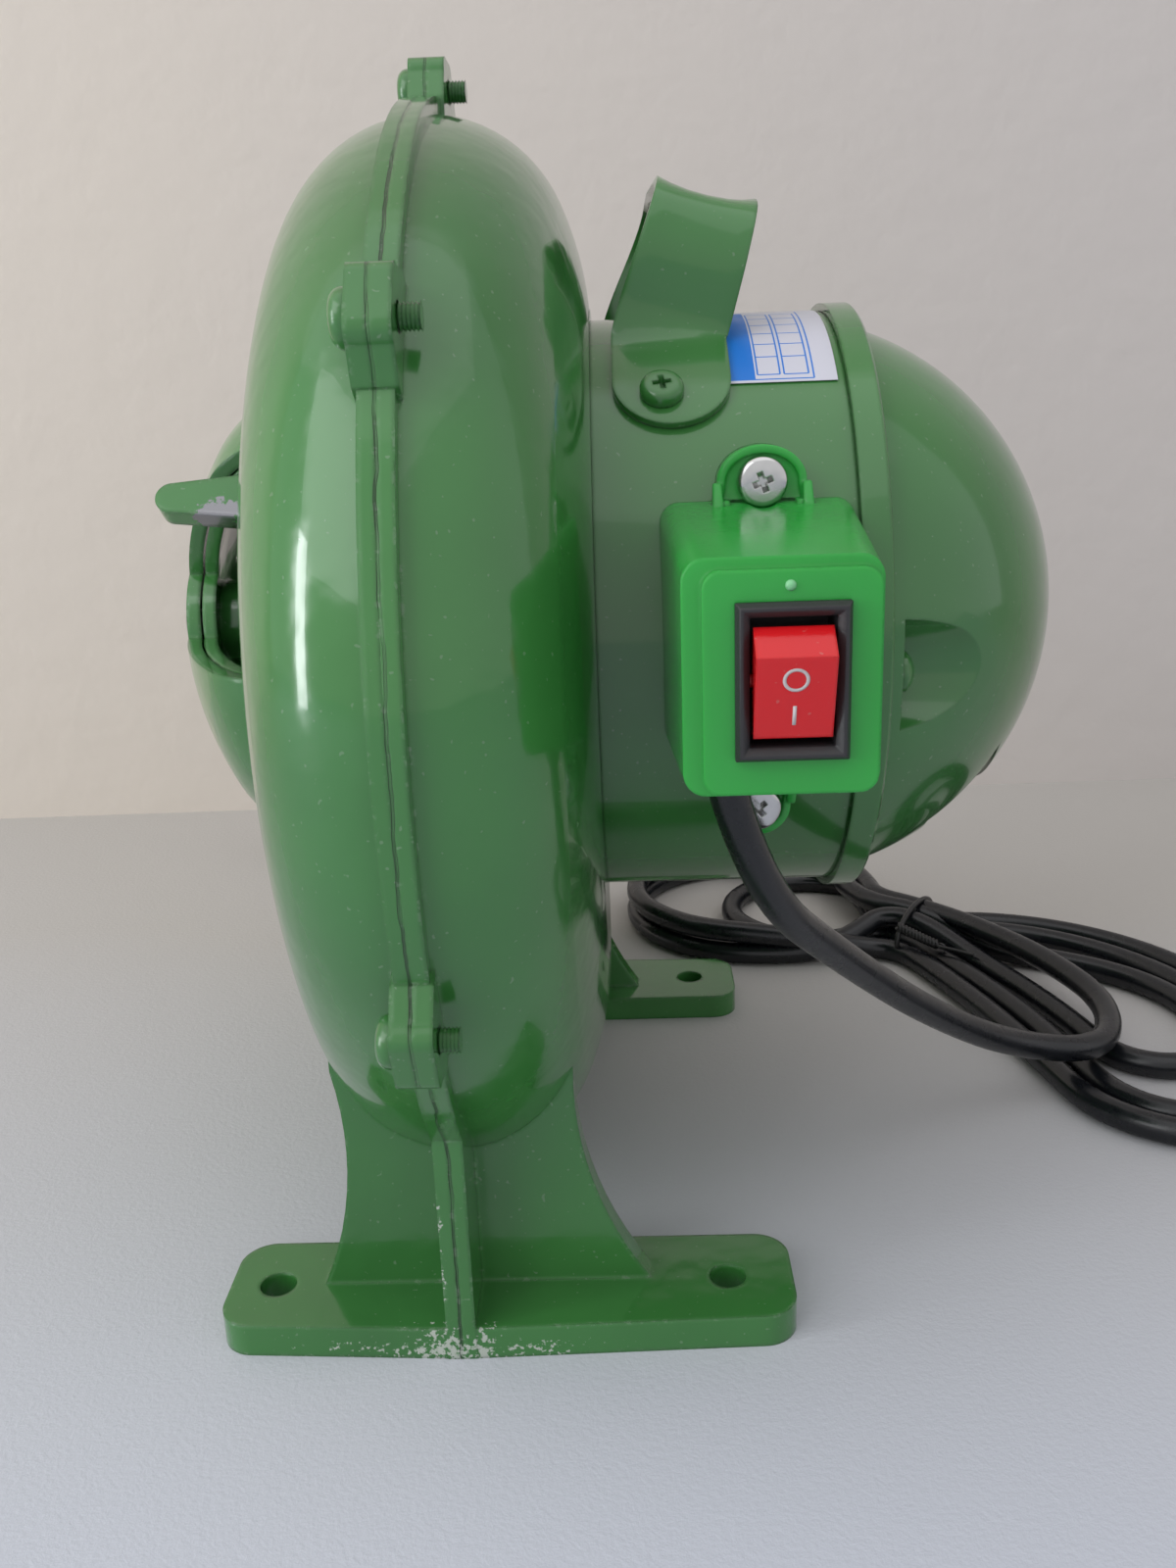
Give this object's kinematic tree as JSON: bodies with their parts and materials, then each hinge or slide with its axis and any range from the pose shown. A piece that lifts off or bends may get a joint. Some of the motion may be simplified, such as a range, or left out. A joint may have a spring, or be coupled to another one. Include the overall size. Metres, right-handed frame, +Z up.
{
  "type": "forge blower",
  "caption": "Electric centrifugal forge blower: cast scroll on feet, round motor with ball-shaped cover, domed intake with a turning shutter, rocker switch, carrying handle and cord.",
  "frame": {"origin": "centre of the four foot bolt holes, on the floor", "axes": "+Z up; +X along the motor axis from the intake to the motor; +Y out of the air outlet"},
  "size_m": [0.2784, 0.3036, 0.2125],
  "materials": {
    "casing_paint": "glossy dark green enamel over cast iron",
    "motor_paint": "glossy dark green enamel over sheet steel",
    "bolt_steel": "plated steel",
    "screw_chrome": "bright plated pan heads",
    "shaft_steel": "ground steel",
    "impeller_aluminium": "plain sheet",
    "core_steel": "stacked laminations",
    "winding_copper": "varnished wire",
    "box_plastic": "bright green, slightly translucent",
    "frame_plastic": "dark grey",
    "rocker_plastic": "red",
    "fan_plastic": "black",
    "tag_brass": "tinned brass",
    "cord_pvc": "black flexible PVC",
    "tie_wire": "coated wire"
  },
  "bodies": {
    "casing": {"front_volute_half": "casing_paint", "rear_volute_half": "casing_paint", "casing_bolts": "motor_paint", "intake_grille": "casing_paint", "pivot_washer": "bolt_steel", "pivot_screw": "bolt_steel", "bearing_outer_rings": "shaft_steel", "motor_barrel": "motor_paint", "stator_core": "core_steel", "stator_windings": "winding_copper", "end_shield": "motor_paint", "dome_end_cap": "motor_paint", "motor_tie_bolts": "bolt_steel", "handle_strap": "motor_paint", "handle_screws": "motor_paint", "switch_box": "box_plastic", "switch_box_screws": "screw_chrome", "switch_frame": "frame_plastic", "switch_tags": "tag_brass", "cord_gland": "cord_pvc", "cord_lead": "cord_pvc", "cord_loops": "cord_pvc", "cord_coil": "cord_pvc", "cord_tie": "tie_wire", "cord_tail": "cord_pvc", "mains_plug": "cord_pvc", "plug_pins": "tag_brass"},
    "rotor": {"impeller": "impeller_aluminium", "impeller_washer": "bolt_steel", "impeller_nut": "bolt_steel", "motor_shaft": "shaft_steel", "shaft_collar": "shaft_steel", "bearing_inner_rings": "shaft_steel", "rotor_core": "core_steel", "cooling_fan": "fan_plastic"},
    "shutter": {"intake_shutter": "casing_paint"},
    "rocker": {"switch_rocker": "rocker_plastic"}
  },
  "joints": [
    {"name": "rotor_spin", "type": "hinge", "parent": "casing", "child": "rotor", "pos_m": [0, 0, 0.115], "axis": [1, 0, 0], "continuous": true},
    {"name": "shutter_turn", "type": "hinge", "parent": "casing", "child": "shutter", "pos_m": [-0.052, 0, 0.115], "axis": [1, 0, 0], "range_deg": [0, 60]},
    {"name": "rocker_tip", "type": "hinge", "parent": "casing", "child": "rocker", "pos_m": [0.0465, -0.0925, 0.1204], "axis": [1, 0, 0], "range_deg": [-28, 0]}
  ]
}
